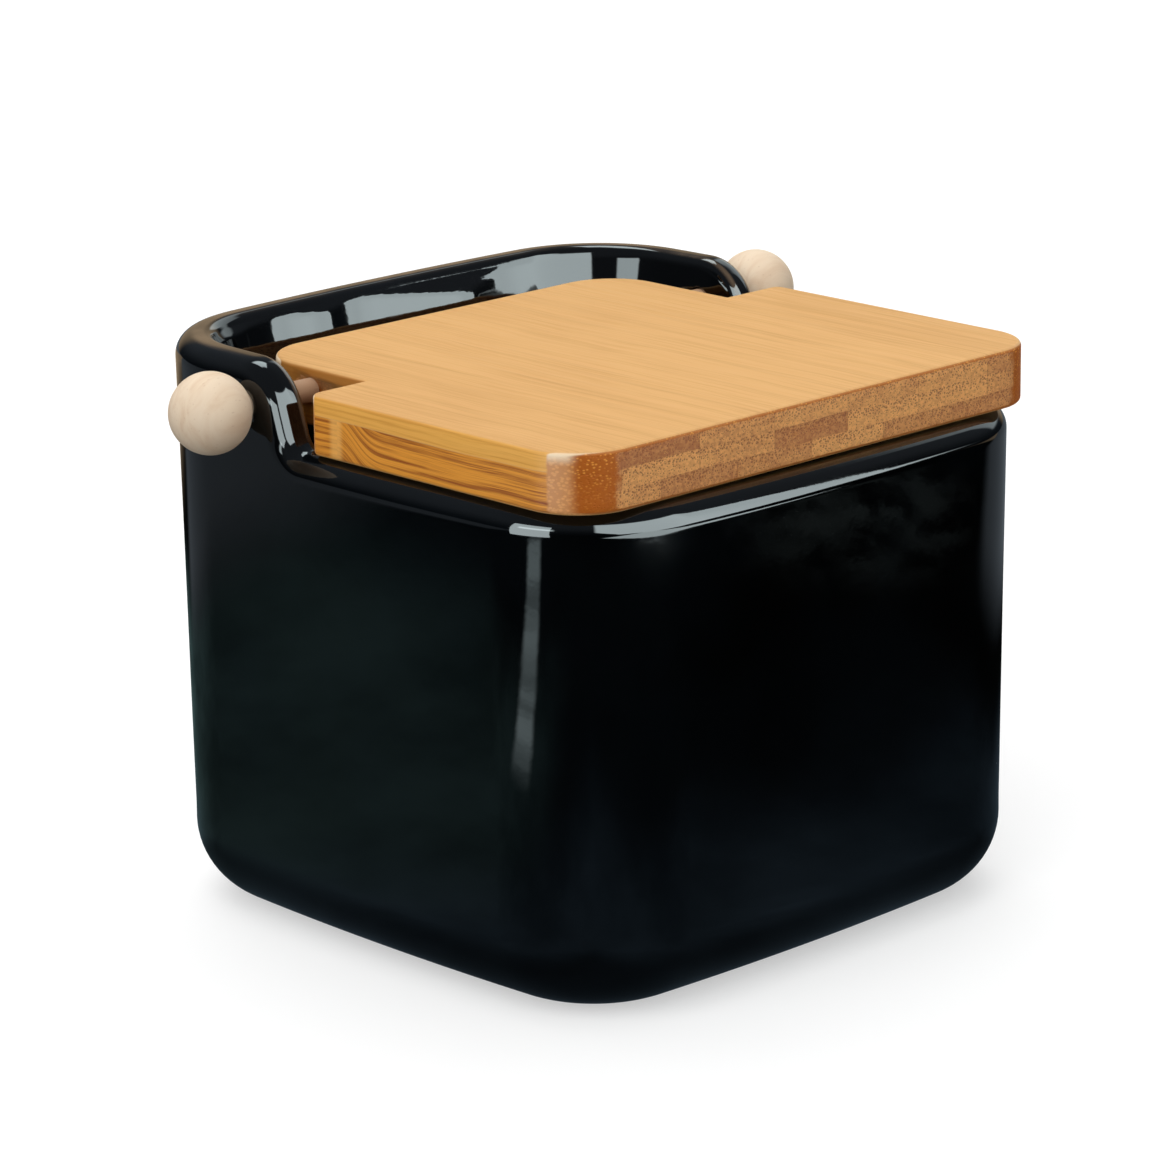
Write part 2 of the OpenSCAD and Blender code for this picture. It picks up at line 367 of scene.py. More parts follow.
def bamboo_side(n, x, y, z, level, ply, slant):
    """The sawn sides: a pale top ply over streaked orange plies. On the left the grain of the
    lower plies curls down to a node of the cane. The tongue's sides are darkened with painted shade."""
    bend = n.rise(y, CURL_START_Y, CURL_END_Y)
    lifted = n.add(z, n.times(bend, bend, -CURL_DROP))
    curled = n.times(n.math("LESS_THAN", x, 0.0), n.math("LESS_THAN", ply, 1.5))
    past_node = n.math("GREATER_THAN", y, CURL_END_Y)
    layer = n.add(n.blend(curled, z, lifted), n.times(past_node, curled, 9.0))
    swayed = n.add(layer, n.times(n.noise(n.vector(n.times(x, 0.1), n.times(y, 0.03), 7.0), 1.0), 1.6))
    streak = n.noise(n.vector(n.times(x, 0.08), n.times(y, 0.022), n.times(swayed, 1.35)), 1.0, 4, 0.7)
    hair = n.noise(n.vector(n.times(x, 0.5), n.times(y, 0.07), n.times(swayed, 5.0)), 1.0, 2)
    dark = n.add(n.times(n.rise(streak, 0.42, 0.64), 0.85), n.times(n.rise(hair, 0.5, 0.75), 0.40))
    pale = n.mix(n.times(dark, 0.70), BAMBOO_SIDE, BAMBOO_SIDE_DARK)
    core = n.mix(n.math("MINIMUM", dark, 1.0), BAMBOO_CORE, BAMBOO_CORE_DARK)
    node = n.times(n.fall(n.abs(n.add(y, -NODE_Y)), 0.6, 2.2), curled, 0.7)
    core = n.mix(node, core, BAMBOO_NODE)
    side = n.mix(n.math("GREATER_THAN", ply, 1.5), core, pale)
    glue = n.abs(n.add(level, -PLY_HIGH_Z))
    side = n.mix(n.rise(glue, 0.0, 0.16, 0.55, 0.0), side, BAMBOO_TOP)
    # Painted shade: the tongue's long sides, beside the cheeks, are mixed three quarters of the way to
    # a dark brown.
    in_tongue = n.math("LESS_THAN", n.abs(x), TONGUE_W / 2 + 0.2)
    return n.mix(n.times(in_tongue, n.math("LESS_THAN", slant, 0.9), 0.75), side, TONGUE_SIDE_PAINTED_SHADE)


def bamboo_end(n, x, y, z, level, tone, joint_line):
    """End grain, with fibre bundles as fine dark dots that are larger towards the top of each
    ply. Gives its colour and the dots."""
    bundles = n.cells(n.vector(x, n.times(y, 0.15), n.times(z, 1.1)), 2.1).outputs
    up_ply = n.math("FRACT", n.times(n.add(level, -PLY_LOW_Z), 1 / (PLY_HIGH_Z - PLY_LOW_Z)))
    width = n.rise(up_ply, 0.1, 1.0, 0.30, 0.52)
    dots = n.fall(n.math("DIVIDE", bundles["Distance"], width), 0.45, 1.1)
    smear = n.noise(n.vector(n.times(x, 0.20), 0.0, n.times(z, 0.6)), 1.0, 3)
    own = n.add(n.split(bundles["Color"])[0], -0.5)
    light = n.add(n.times(tone, 0.95), n.times(n.add(smear, -0.5), 0.5), n.times(own, 0.45), 0.03)
    colour = n.mix(n.math("MAXIMUM", light, 0.0, clamp=True), END_DARK, END_LIGHT)
    colour = n.mix(n.times(dots, 0.80), colour, END_PORE)
    return n.mix(n.times(joint_line, 0.30), colour, END_PORE), dots


def bamboo_corner(n, x, y, z, level, turn):
    """Rounded corners, where the saw ran aslant through the fibres: pale at first, then orange. Towards
    the top the pale part carries a painted highlight.
    """
    cells = n.cells(n.vector(n.times(x, 0.75), n.times(y, 0.75), n.times(z, 1.2)), 1.75)
    far = cells.outputs["Distance"]
    dot = n.times(n.fall(far, 0.15, 0.42), n.rise(level, 93.0, 99.0, 0.20, 0.75))
    orange = n.mix(dot, CORNER_ORANGE, CORNER_DOT)
    pale = n.mix(n.times(n.rise(far, 0.3, 0.6), 0.45), CORNER_PALE, END_DARK)
    # Painted highlight: the pale corners turn much lighter towards the lid's top.
    pale = n.mix(n.rise(z, 98.5, 101.0), pale, CORNER_PAINTED_HIGHLIGHT)
    return n.mix(n.rise(turn, 0.56, 0.72), pale, orange)


def bamboo_material():
    """Laminated bamboo: strips and plies of their own tone, long grain, dotted end grain, and
    the cut-through fibres that show on rounded corners."""
    material, n, where = new_material("laminated_bamboo")
    x, y, z = n.split(where)
    facing = n.split(n.node("ShaderNodeTexCoord").outputs["Normal"])
    slant, flat = n.abs(facing[1]), n.abs(facing[2])
    level, ply, tone, seed, joint_line = bamboo_strips(n, x, y, z)
    top, fine = bamboo_face(n, x, y, z, tone, seed, joint_line)
    side = bamboo_side(n, x, y, z, level, ply, slant)
    end, dots = bamboo_end(n, x, y, z, level, tone, joint_line)

    long_grain = n.mix(n.rise(flat, 0.45, 0.75), side, top)
    turn = n.add(slant, n.times(n.add(n.noise(where, 0.6), -0.5), 0.06))
    corner = bamboo_corner(n, x, y, z, level, turn)
    body = n.mix(n.rise(turn, 0.27, 0.33), long_grain, corner)
    body = n.mix(n.rise(turn, 0.965, 0.995), body, end)
    colour = n.mix(n.rise(flat, 0.55, 0.85), body, long_grain)
    # Painted highlight: the rounded edges of the top and the underside are mixed a fifth of the way to
    # the top's colour.
    edge_painted_highlight = n.times(n.rise(flat, 0.12, 0.5), n.fall(flat, 0.8, 0.98))
    colour = n.mix(n.times(edge_painted_highlight, 0.2), colour, BAMBOO_TOP)

    grain = n.add(n.times(fine, n.fall(slant, 0.3, 0.9)), n.times(dots, -0.8, n.rise(slant, 0.3, 0.9)))
    roughness = n.rise(fine, 0.3, 0.8, 0.42, 0.58)
    finish_material(n, Base_Color=colour, Roughness=roughness, IOR=WOOD_IOR,
                    Specular_IOR_Level=WOOD_SPECULAR, Normal=n.bump(grain, BAMBOO_GRAIN))
    return material


BEECH_GRAIN = 0.00003
BEECH_LIGHT = (0.800, 0.645, 0.480, 1)
BEECH_WARM = (0.720, 0.530, 0.365, 1)
BEECH_RAY = (0.560, 0.370, 0.240, 1)
# Painted shade for the dowels, between the cheeks and the lid
DOWEL_PAINTED_SHADE = (0.330, 0.160, 0.075, 1)


def beech_material():
    """Turned beech: faint growth rings, short rays and pores, all with the grain along the hinge.
    The dowels are darkened with painted shade."""
    material, n, where = new_material("turned_beech")
    x = n.split(where)[0]
    rings = n.noise(n.scaled(where, 0.05, 0.55, 0.22), 1.0, 3, 0.55, 0.6)
    colour = n.mix(n.rise(rings, 0.38, 0.72, 0.0, 0.75), BEECH_LIGHT, BEECH_WARM)
    rays = n.cells(n.scaled(where, 0.5, 1.6, 1.6)).outputs
    chosen = n.math("GREATER_THAN", n.split(rays["Color"])[1], 0.6)
    ray = n.times(n.fall(rays["Distance"], 0.10, 0.24), chosen)
    colour = n.mix(n.times(ray, 0.35), colour, BEECH_RAY)
    # Painted shade: the dowels, inside the pot's width, are mixed most of the way to a dark brown.
    in_dowel = n.math("LESS_THAN", n.abs(x), POT_W / 2 - 1)
    colour = n.mix(n.times(in_dowel, 0.8), colour, DOWEL_PAINTED_SHADE)
    pores = n.noise(n.scaled(where, 0.7, 5.0, 5.0), 1.0, 2)
    roughness = n.rise(pores, 0.3, 0.7, 0.55, 0.68)
    finish_material(n, Base_Color=colour, Roughness=roughness, IOR=WOOD_IOR,
                    Specular_IOR_Level=WOOD_SPECULAR, Normal=n.bump(pores, BEECH_GRAIN))
    return material


# ---------------------------------------------------------------- mesh helpers
SHARP_ANGLE = math.radians(38)
QUARTER = math.pi / 2
HOLE_SIDES = 64
HOLE_OVERRUN = 1


def new_object(name, bm):
    """An object from a bmesh in mm, its mesh in metres."""
    bm.transform(Matrix.Scale(MM, 4))
    mesh = bpy.data.meshes.new(name)
    bm.to_mesh(mesh)
    bm.free()
    mesh.shade_smooth()
    mesh.set_sharp_from_angle(angle=SHARP_ANGLE)
    obj = bpy.data.objects.new(name, mesh)
    bpy.context.scene.collection.objects.link(obj)
    return obj


def spread(a, b, steps):
    """Values from a up to, but not including, b."""
    return [a + (b - a) * i / steps for i in range(steps)]


def fillet(r, a):
    """A point of a quarter round of radius r, as its distances from the line that the round
    leaves at an angle of 0 and from the line that it meets after a quarter turn."""
    return r * (1 - math.cos(a)), r * (1 - math.sin(a))


def skin(bm, rings):
    """Faces from each ring of vertices to the next, and over both ends, all turned outwards. A
    ring of one vertex is a tip, where each face has three corners."""
    count = max(len(ring) for ring in rings)
    for low, high in zip(rings, rings[1:]):
        for i in range(count):
            j = (i + 1) % count
            corners = (low[i % len(low)], low[j % len(low)], high[j % len(high)], high[i % len(high)])
            bm.faces.new(list(dict.fromkeys(corners)))
    for end in (rings[0][::-1], rings[-1]):
        if len(end) > 1:
            bm.faces.new(end)
    bmesh.ops.recalc_face_normals(bm, faces=bm.faces)


def apply_modifiers(obj):
    graph = bpy.context.evaluated_depsgraph_get()
    mesh = bpy.data.meshes.new_from_object(obj.evaluated_get(graph))
    old = obj.data
    obj.modifiers.clear()
    obj.data = mesh
    mesh.name = old.name
    bpy.data.meshes.remove(old)


def drill(obj, radius, x0, x1):
    """Cuts a round hole along the hinge line, between two distances from the middle."""
    bm = bmesh.new()
    middle = Matrix.Translation(((x0 + x1) / 2, HINGE.y, HINGE.z))
    turned = middle @ Matrix.Rotation(QUARTER, 4, "Y")
    bmesh.ops.create_cone(bm, cap_ends=True, segments=HOLE_SIDES, radius1=radius, radius2=radius,
                          depth=x1 - x0, matrix=turned)
    cutter = new_object("cutter", bm)
    cut = obj.modifiers.new("hole", "BOOLEAN")
    cut.object = cutter
    cut.solver = "EXACT"
    apply_modifiers(obj)
    bpy.data.objects.remove(cutter)


def paint(obj, *materials):
    obj.data.materials.clear()
    for material in materials:
        obj.data.materials.append(material)


# ---------------------------------------------------------------- the pot
CORNER_X = POT_W / 2 - WALL_BOW - CORNER_R
CORNER_Y = POT_D / 2 - WALL_BOW - CORNER_R
SIDE_TURN = 2 * math.atan(WALL_BOW / CORNER_Y)
END_TURN = 2 * math.atan(WALL_BOW / CORNER_X)
SIDE_ARC_R = CORNER_R + CORNER_Y / math.sin(SIDE_TURN)
END_ARC_R = CORNER_R + CORNER_X / math.sin(END_TURN)
SIDE_END_Y = SIDE_ARC_R * math.sin(SIDE_TURN)
EAR_Y = HINGE.y - EAR_REACH
STEP_Y = EAR_Y + STEP_GAP
STEP_TOP_Y = STEP_Y + (BACK_H - FRONT_H) / math.tan(STEP_ANGLE)
STEP_FOOT_Y = STEP_Y - STEP_FOOT_R * math.tan(STEP_ANGLE / 2)
STEP_SHOULDER_Y = STEP_TOP_Y + STEP_SHOULDER_R * math.tan(STEP_ANGLE / 2)
WALL_LOW_Z = BASE_R
WALL_HIGH_Z = FRONT_H - 2 * RIM_OUT_R
WALL_ROWS = 24
LEAN_ROWS = 54
END_STEPS = 10
CORNER_STEPS = 30
ROUND_STEPS = 16

# Below the high rim's rounded edge the wall gets thicker, so its inside face leans from upright:
# by LEAN_EDGE at first, then by LEAN_FACE, until the wall slowly gets its own thickness back. How
# deep the first part goes wanders from left to right, as (x, depth).
LEAN_EDGE = math.radians(33)
LEAN_FACE = math.radians(13)
LEAN_STARTS = (
    (-60, 3.1), (-40, 3.1), (-27.5, 1.7), (-17, 3.25), (-9.5, 1.65),
    (17.5, 5.1), (27, 2.1), (40, 2.0), (60, 1.6),
)
LEAN_TURN = 0.22
LEAN_END = 8.6
LEAN_FADE = 11.5
LEAN_RETURN = 22

# Glaze covers all but the foot ring's faces that are this level and end this low
UNGLAZED_LEVEL = 0.97
UNGLAZED_H = 0.15

# The slow waves of the glazed faces
WALL_WAVE = 0.16
WALL_WAVE_INSIDE = 0.015
WALL_WAVE_LENGTH = 30

# How a station's height is meant
AT_HEIGHT, SQUARE_TO_RIM, BELOW_RIM = range(3)

# An upright line of the shell: the centre and radius of its arc in plan, its angle on that arc,
# and the height and slope of the rim there
Column = namedtuple("Column", "x y radius angle crest slope")

# A row of the shell. Across runs from 0 on the outside to 0.5 on the crest of the rim and 1 where
# the inside begins.
Station = namedtuple("Station", "inset height meaning across")


def rim_path():
    """The rim along a side wall, front to back, as (y, height, slope)."""
    def foot(a):
        up = STEP_FOOT_R * (1 - math.cos(a))
        return STEP_FOOT_Y + STEP_FOOT_R * math.sin(a), FRONT_H + up, a

    def shoulder(a):
        down = STEP_SHOULDER_R * (1 - math.cos(a))
        return STEP_SHOULDER_Y - STEP_SHOULDER_R * math.sin(a), BACK_H - down, a

    low_y, low_z = foot(STEP_ANGLE)[:2]
    high_y, high_z = shoulder(STEP_ANGLE)[:2]
    path = [(y, FRONT_H, 0) for y in spread(-SIDE_END_Y, STEP_FOOT_Y, 12)]
    path += [foot(a) for a in spread(0, STEP_ANGLE, 14)]
    for t in spread(0, 1, 4):
        path.append((low_y + (high_y - low_y) * t, low_z + (high_z - low_z) * t, STEP_ANGLE))
    path += [shoulder(a) for a in spread(STEP_ANGLE, 0, 18)]
    path += [(y, BACK_H, 0) for y in spread(STEP_SHOULDER_Y, SIDE_END_Y, 6)]
    return path


def columns():
    """Columns of the right half, from the middle of the front to the middle of the back."""
    def level(x, y, radius, angles, crest):
        return [Column(x, y, radius, a, crest, 0) for a in angles]

    end_y = END_ARC_R - POT_D / 2
    to_corner = spread(END_TURN - QUARTER, -SIDE_TURN, CORNER_STEPS)
    from_corner = spread(SIDE_TURN, QUARTER - END_TURN, CORNER_STEPS)
    front = spread(-QUARTER, END_TURN - QUARTER, END_STEPS)
    back = spread(QUARTER - END_TURN, QUARTER, END_STEPS) + [QUARTER]
    cols = level(0, end_y, END_ARC_R, front, FRONT_H)
    cols += level(CORNER_X, -CORNER_Y, CORNER_R, to_corner, FRONT_H)
    for y, z, slope in rim_path():
        angle = math.asin(y / SIDE_ARC_R)
        cols.append(Column(POT_W / 2 - SIDE_ARC_R, 0, SIDE_ARC_R, angle, z, slope))
    cols += level(CORNER_X, CORNER_Y, CORNER_R, from_corner, BACK_H)
    cols += level(0, -end_y, END_ARC_R, back, BACK_H)
    return cols


def place(col, inset, along, z):
    """A point of a column, moved in from the wall's face and along the wall."""
    angle = col.angle
    if along:
        angle = math.asin(math.sin(angle) + along / col.radius)
    r = col.radius - inset - DRAFT * (BACK_H - z)
    return Vector((col.x + r * math.cos(angle), col.y + r * math.sin(angle), z))


def lean_start(x):
    """How deep the first, steeper part of the lean goes at a place from left to right."""
    for (x0, depth0), (x1, depth1) in zip(LEAN_STARTS, LEAN_STARTS[1:]):
        if x <= x1:
            return depth0 + (depth1 - depth0) * (x - x0) / (x1 - x0)
    return LEAN_STARTS[-1][1]


def lean(depth, x):
    """How much thicker the wall is at a depth below the high rim, where its inside leans."""
    first = LIP_END[1]
    if depth <= first:
        return 0
    start = lean_start(x)
    edge = math.tan(LEAN_EDGE)
    face = math.tan(LEAN_FACE)
    turn = start - LEAN_TURN
    thick = edge * (min(depth, turn) - first)
    u = min(max(0, depth - turn), LEAN_TURN)
    thick += edge * u + (face - edge) * u * u / (2 * LEAN_TURN)
    thick += face * max(0, min(depth, LEAN_END) - start)
    v = min(max(0, depth - LEAN_END), LEAN_FADE - LEAN_END)
    thick += face * (v - v * v / (2 * (LEAN_FADE - LEAN_END)))
    return thick * math.exp(-max(0, depth - LEAN_FADE) / LEAN_RETURN)


def rim_lip():
    """The rounded inner edge of the rim, as (inset, depth), down to where the face begins to
    lean."""
    r = min(RIM_IN_R, WALL - RIM_OUT_R - 0.1)
    angles = spread(QUARTER, LEAN_EDGE, 10) + [LEAN_EDGE]
    rounds = [fillet(r, a) for a in angles]
    return [(WALL - out, depth) for out, depth in rounds]


LIP = rim_lip()
LIP_END = LIP[-1]


def profile():
    """Stations from the hollow under the base, up the outside, over the rim and down to the
    floor. Each height is one from the ground, a depth square to the rim, or a share of the way
    from the rim's edge down to the plain wall."""
    foot_in = BASE_R + FOOT_W
    stations = [Station(foot_in + 3 * FOOT_LIFT, FOOT_LIFT, AT_HEIGHT, 0)]
    stations += [Station(foot_in + FOOT_LIFT, FOOT_LIFT * 0.9, AT_HEIGHT, 0)]
    stations += [Station(foot_in + 0.2, 0.1, AT_HEIGHT, 0), Station(foot_in, 0, AT_HEIGHT, 0)]
    for a in spread(0, QUARTER, 20):
        up, inset = fillet(BASE_R, a)
        stations.append(Station(inset, up, AT_HEIGHT, 0))
    outer_wall = spread(WALL_LOW_Z, WALL_HIGH_Z, WALL_ROWS)
    stations += [Station(0, z, AT_HEIGHT, 0) for z in outer_wall]
    stations += [Station(0, t, BELOW_RIM, 0) for t in spread(1, 0, 10)]
    for a in spread(0, QUARTER, ROUND_STEPS):
        stations.append(Station(*fillet(RIM_OUT_R, a), SQUARE_TO_RIM, a / QUARTER / 2))
    stations += [Station(RIM_OUT_R, 0, SQUARE_TO_RIM, 0.5)]
    for i, (inset, depth) in enumerate(LIP):
        across = 0.6 + 0.4 * i / (len(LIP) - 1)
        stations.append(Station(inset, depth, SQUARE_TO_RIM, across))
    stations += [Station(WALL, t, BELOW_RIM, 1) for t in spread(0, 1, LEAN_ROWS)[1:]]
    inner_wall = spread(WALL_HIGH_Z, FLOOR_H + INSIDE_R, WALL_ROWS)
    stations += [Station(WALL, z, AT_HEIGHT, 1) for z in inner_wall]
    for a in spread(0, QUARTER, ROUND_STEPS):
        inset, up = fillet(INSIDE_R, a)
        stations.append(Station(WALL + inset, FLOOR_H + up, AT_HEIGHT, 1))
    stations += [Station(WALL + INSIDE_R, FLOOR_H, AT_HEIGHT, 1)]
    return stations


def column_point(col, station, side):
    """A column's point at a station, always on the right. Side is -1 to have the lean of the left
    half there, and 1 to have that of the right half."""
    inset, height = station.inset, station.height
    inside = inset >= WALL
    if station.meaning == SQUARE_TO_RIM:
        return place(col, inset, height * math.sin(col.slope), col.crest - height * math.cos(col.slope))
    if station.meaning == BELOW_RIM:
        edge_inset, edge_depth = LIP_END if inside else (0, RIM_OUT_R)
        edge_z = col.crest - edge_depth * math.cos(col.slope)
        z = edge_z + (WALL_HIGH_Z - edge_z) * height
        along = (edge_depth + (RIM_OUT_R - edge_depth) * height) * math.sin(col.slope)
        inset = edge_inset + (inset - edge_inset) * height
    else:
        z = height
        along = RIM_OUT_R * math.sin(col.slope)
    if inside and z > FLOOR_H + INSIDE_R:
        high = (col.crest - FRONT_H) / (BACK_H - FRONT_H)
        x = side * (col.x + col.radius * math.cos(col.angle))
        inset += lean(col.crest - z, x) * high * high
    return place(col, inset, along, z)


def wave(point, station):
    """How far the face sinks into the wall at a point, in slow waves, as on a cast pot."""
    if station.meaning == AT_HEIGHT and station.height <= WALL_LOW_Z:
        return 0
    p = point / WALL_WAVE_LENGTH
    p.z *= 0.6
    slow = noise.noise(p)
    quick = noise.noise(p * 2.3 + Vector((5, 3, 1)))
    calm = 1 - 0.8 * math.sin(math.pi * min(1, station.across))
    depth = WALL_WAVE_INSIDE if station.inset >= WALL else WALL_WAVE
    return depth * (0.5 + 0.5 * slow + 0.16 * quick) * calm


def pot_mesh():
    """The pot's shell, lofted ring by ring. How far across the rim a vertex is goes with it, for
    the glaze."""
    half = columns()
    bm = bmesh.new()
    rim = bm.verts.layers.float.new("rim")
    rings = []
    for station in profile():
        right = [column_point(col, station, 1) for col in half]
        left = [column_point(col, station, -1) for col in half[-2:0:-1]]
        ring = []
        inside = station.inset >= WALL
        for p in right + [Vector((-p.x, p.y, p.z)) for p in left]:
            out = Vector((p.x, p.y, 0)).normalized()
            shift = wave(p, station)
            vert = bm.verts.new(p + out * shift if inside else p - out * shift)
            vert[rim] = station.across
            ring.append(vert)
        rings.append(ring)
    skin(bm, rings)
    return bm


def make_pot():
    """The pot, drilled for both dowels, with the flat of its foot ring left unglazed."""
    pot = new_object("glazed_pot", pot_mesh())
    reach = POT_W / 2 + HOLE_OVERRUN
    drill(pot, DOWEL_D / 2 + DOWEL_CLEARANCE, -reach, reach)
    paint(pot, glaze_material(), bare_clay_material())
    for face in pot.data.polygons:
        low = min(pot.data.vertices[i].co.z for i in face.vertices) / MM
        bare = abs(face.normal.z) > UNGLAZED_LEVEL and low < UNGLAZED_H
        face.material_index = 1 if bare else 0
    return pot


# ---------------------------------------------------------------- the lid
LID_ROWS = 6


def arc(cx, cy, r, a0, a1, steps):
    """Points of an arc, with both of its ends."""
    angles = spread(a0, a1, steps) + [a1]
    return [(cx + r * math.cos(a), cy + r * math.sin(a)) for a in angles]


def lid_outline(inset):
    """The T-shaped outline, anticlockwise from the front right, moved in by inset."""
    side = LID_HIGH.x - inset
    tongue = TONGUE_W / 2 - inset
    front = LID_LOW.y + inset
    ear = EAR_Y - inset
    back = LID_HIGH.y - inset
    r = LID_FRONT_R - inset
    e = EAR_R - inset
    b = TONGUE_R - inset
    right = arc(side - r, front + r, r, -QUARTER, 0, 20)
    right += arc(side - e, ear - e, e, 0, QUARTER, 8)
    right += [(tongue, ear)]
    right += arc(tongue - b, back - b, b, 0, QUARTER, 20)
    return right + [(-x, y) for x, y in reversed(right)]


def lid_levels():
    """The lid's edge from the underside to the top, as (inset, height)."""
    r = LID_EDGE_R
    straight = LID_HIGH.z - LID_LOW.z - 2 * r
    bottom = [fillet(r, a) for a in spread(0, QUARTER, LID_ROWS)]
    levels = [(inset, LID_LOW.z + up) for up, inset in bottom]
    levels += [(0, LID_LOW.z + r + straight * i / LID_ROWS) for i in range(LID_ROWS)]
    levels += [(inset, LID_HIGH.z - down) for inset, down in bottom]
    return levels + [(r, LID_HIGH.z)]


def make_lid():
    """The board, drilled from both sides for the dowels."""
    bm = bmesh.new()
    rings = []
    for inset, z in lid_levels():
        rings.append([bm.verts.new((x, y, z)) for x, y in lid_outline(inset)])
    skin(bm, rings)
    lid = new_object("bamboo_lid", bm)
    hole = DOWEL_D / 2 + GLUE_GAP
    half = TONGUE_W / 2
    drill(lid, hole, half - LID_HOLE_DEPTH, half + HOLE_OVERRUN)
    drill(lid, hole, -half - HOLE_OVERRUN, LID_HOLE_DEPTH - half)
    paint(lid, bamboo_material())
    return lid


# ---------------------------------------------------------------- dowels and balls
DOWEL_SIDES = 40
DOWEL_ROWS = 10
BALL_SIDES = 72
BALL_ROWS = 56
BALL_HOLE_LIP = 0.25


def revolve(points, segments):
    """A closed solid turned about the hinge line from (distance along it, radius) points."""
    bm = bmesh.new()
    rings = []
    for x, r in points:
        angles = spread(0, 2 * math.pi, segments) if r else [0]
        ring = [(x, HINGE.y + r * math.cos(a), HINGE.z + r * math.sin(a)) for a in angles]
        rings.append([bm.verts.new(point) for point in ring])
    skin(bm, rings)
    return bm


def dowel_points(side):
    """A dowel's outline, bevelled at both ends."""
    r = DOWEL_D / 2
    x0, x1 = DOWEL_LOW.x, DOWEL_HIGH.x
    points = [(x0, 0), (x0, r - DOWEL_BEVEL), (x0 + DOWEL_BEVEL, r)]
    points += [(x, r) for x in spread(x0, x1, DOWEL_ROWS)[1:]]
    points += [(x1 - DOWEL_BEVEL, r), (x1, r - DOWEL_BEVEL), (x1, 0)]
    return [(side * x, radius) for x, radius in points]


def ball_points(side):
    """A ball's outline, from the bottom of its hole, out of the hole's mouth and round to its
    outer side."""
    hole = DOWEL_D / 2 + GLUE_GAP
    mouth_x = BALL_X - math.sqrt(BALL_R ** 2 - (DOWEL_D / 2) ** 2)
    start = math.asin((hole + BALL_HOLE_LIP) / BALL_R)
    points = [(mouth_x + BALL_HOLE_DEPTH, 0), (mouth_x + BALL_HOLE_DEPTH, hole)]
    points += [(mouth_x + BALL_HOLE_DEPTH * t, hole) for t in (0.75, 0.5, 0.25)]
    points += [(BALL_X - BALL_R * math.cos(start) + BALL_HOLE_LIP, hole)]
    for a in spread(start, math.pi, BALL_ROWS):
        points.append((BALL_X - BALL_R * math.cos(a), BALL_R * math.sin(a)))
    points += [(BALL_X + BALL_R, 0)]
    return [(side * x, radius) for x, radius in points]


pot = make_pot()
lid = make_lid()
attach(pot, "box")
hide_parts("pot")
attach(lid, "lid_set")
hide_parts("lid")
beech = beech_material()
for side, side_name in ((-1, "left"), (1, "right")):
    dowel = new_object(side_name + "_turned_dowel", revolve(dowel_points(side), DOWEL_SIDES))
    ball = new_object(side_name + "_turned_ball", revolve(ball_points(side), BALL_SIDES))
    for piece, node in ((dowel, side_name + "_dowel"), (ball, side_name + "_ball")):
        piece.data.materials.append(beech)
        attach(piece, "lid_set")
        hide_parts(node)

# ---------------------------------------------------------------- camera
FRAME_PX = 1170
SENSOR_MM = 36
FOCAL_PX = 4794.2
VIEW_AZIMUTH = math.radians(-44.065)
VIEW_ELEVATION = math.radians(16.005)
VIEW_ROLL = math.radians(-0.757)
CAMERA_AT = Vector((-0.57721, -0.59391, 0.29449))


def make_camera():
    """The camera that took the photograph, as fitted to the lid, the pot and the balls."""
    right = Vector((math.cos(VIEW_AZIMUTH), math.sin(VIEW_AZIMUTH), 0))
    back = Vector((
        math.sin(VIEW_AZIMUTH) * math.cos(VIEW_ELEVATION),
        -math.cos(VIEW_AZIMUTH) * math.cos(VIEW_ELEVATION),
        math.sin(VIEW_ELEVATION),
    ))
    up = back.cross(right)
    c = math.cos(VIEW_ROLL)
    s = math.sin(VIEW_ROLL)
    axes = Matrix((c * right + s * up, -s * right + c * up, back)).transposed()
    data = bpy.data.cameras.new("view")
    data.sensor_width = SENSOR_MM
    data.lens = FOCAL_PX * SENSOR_MM / FRAME_PX
    data.clip_end = 10
    camera = bpy.data.objects.new("view", data)
    camera.matrix_world = Matrix.Translation(CAMERA_AT) @ axes.to_4x4()
    bpy.context.scene.collection.objects.link(camera)
    bpy.context.scene.camera = camera


make_camera()

# ---------------------------------------------------------------- the world
WHITE = (1, 1, 1, 1)
SKY_FILL = 0.525
STUDIO_DARK = (0.018, 0.022, 0.027, 1)
STUDIO_HIGH = (0.130, 0.150, 0.175, 1)
STUDIO_WARM = (0.460, 0.345, 0.225, 1)
SOFTBOX = (0.85, 0.98, 1.0, 1)
SOFTBOX_POWER = 6.0

# The way the camera looks, in plan
AWAY_X = 0.695
AWAY_Y = 0.719

# How high the dim ceiling and the warm wall reach, in degrees, and how wide the wall is
CEILING = (0.0, 35.0)
WARM_WALL_TOP = (16.0, 32.0)
WARM_WALL_SIDES = (0.80, 0.95)

# Softboxes, in degrees round from the front, with the right side positive, and in degrees up
LEFT_BOX = ((-101, -73), (11.5, 18))
ABOVE_BOX = ((128, 178), (53, 74))
EDGE_BOX = ((84, 125), (12, 42))
EDGE_BOX_SHARE = 0.2
BOX_BLUR = 1.5
WIDE_BLUR = 3

# The biggest softbox stretches across the front. Its left end leans with the elevation. Its top,
# which is cut low on the right, its foot and its share of the strength follow the azimuth. Each
# is (from, to, value before, value after), and the right end is where the box fades, (from, to).
BIG_LEFT = (-2.0, 12.0, -24.0, -41.0)
BIG_TOP = (40.0, 62.0, 45.0, 10.0)
BIG_CUT = (47.2, 48.2, 45.0, 4.5)
BIG_FOOT = (38.0, 56.0, -11.0, 6.0)
BIG_SHARE = (35.0, 44.0, 1.2, 1.0)
BIG_RIGHT = (59.0, 62.0)


def behind(n, x, y):
    """How far a place or a direction lies behind the object, as the camera sees it."""
    return n.add(n.times(x, AWAY_X), n.times(y, AWAY_Y))


